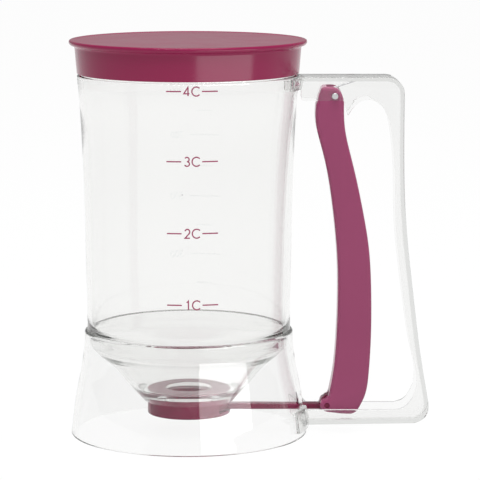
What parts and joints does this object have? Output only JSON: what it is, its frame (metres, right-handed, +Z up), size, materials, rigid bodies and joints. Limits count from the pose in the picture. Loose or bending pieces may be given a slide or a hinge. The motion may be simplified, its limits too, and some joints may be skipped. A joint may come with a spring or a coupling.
{
  "type": "pancake batter dispenser",
  "caption": "Clear hand-held batter dispenser: marked barrel with funnel bowl, push-on lid, flared skirt, U-section handle and a squeeze trigger that slides the outlet gate.",
  "frame": {"origin": "on the vessel's axis, in the plane of the skirt's lower edge, where the object stands", "axes": "+Z up along the vessel's axis, +X towards the handle, -Y towards the printed cup marks"},
  "size_m": [0.1695, 0.112, 0.1864],
  "materials": {
    "lid_red": "fine satin moulded polypropylene",
    "clear_vessel": "clear polished styrene plastic",
    "clear_skirt": "clear polished styrene plastic",
    "clear_handle": "clear polished styrene plastic",
    "trigger_red": "semi-gloss moulded plastic",
    "gate_red": "semi-gloss moulded plastic",
    "housing_red": "semi-gloss moulded plastic",
    "steel": "bright stainless wire and pin",
    "silicone": "soft grey silicone"
  },
  "bodies": {
    "root": {"container": "clear_vessel", "base_skirt": "clear_skirt", "handle_frame": "clear_handle", "pivot_pin": "steel", "valve_housing": "housing_red", "gate_seal": "silicone", "return_spring": "steel"},
    "trigger": {"trigger": "trigger_red", "link_pin": "steel"},
    "gate": {"gate_slide": "gate_red"},
    "lid": {"lid": "lid_red"}
  },
  "joints": [
    {"name": "trigger_pull", "type": "hinge", "parent": "root", "child": "trigger", "pos_m": [0.0683, 0, 0.1606], "axis": [0, -1, 0], "range_deg": [0, 8.5], "stiffness_Nm_per_rad": 0.6, "springref_deg": -11.46, "deforming": ["return_spring"]},
    {"name": "gate_travel", "type": "slide", "parent": "root", "child": "gate", "axis": [1, 0, 0], "range_m": [0, 0.02175]},
    {"name": "lid_lift", "type": "slide", "parent": "root", "child": "lid", "axis": [0, 0, 1], "range_m": [0, 0.03]}
  ],
  "couplings": [
    {"joint": "gate_travel", "follows": "trigger_pull", "m_per_rad": 0.1466}
  ]
}
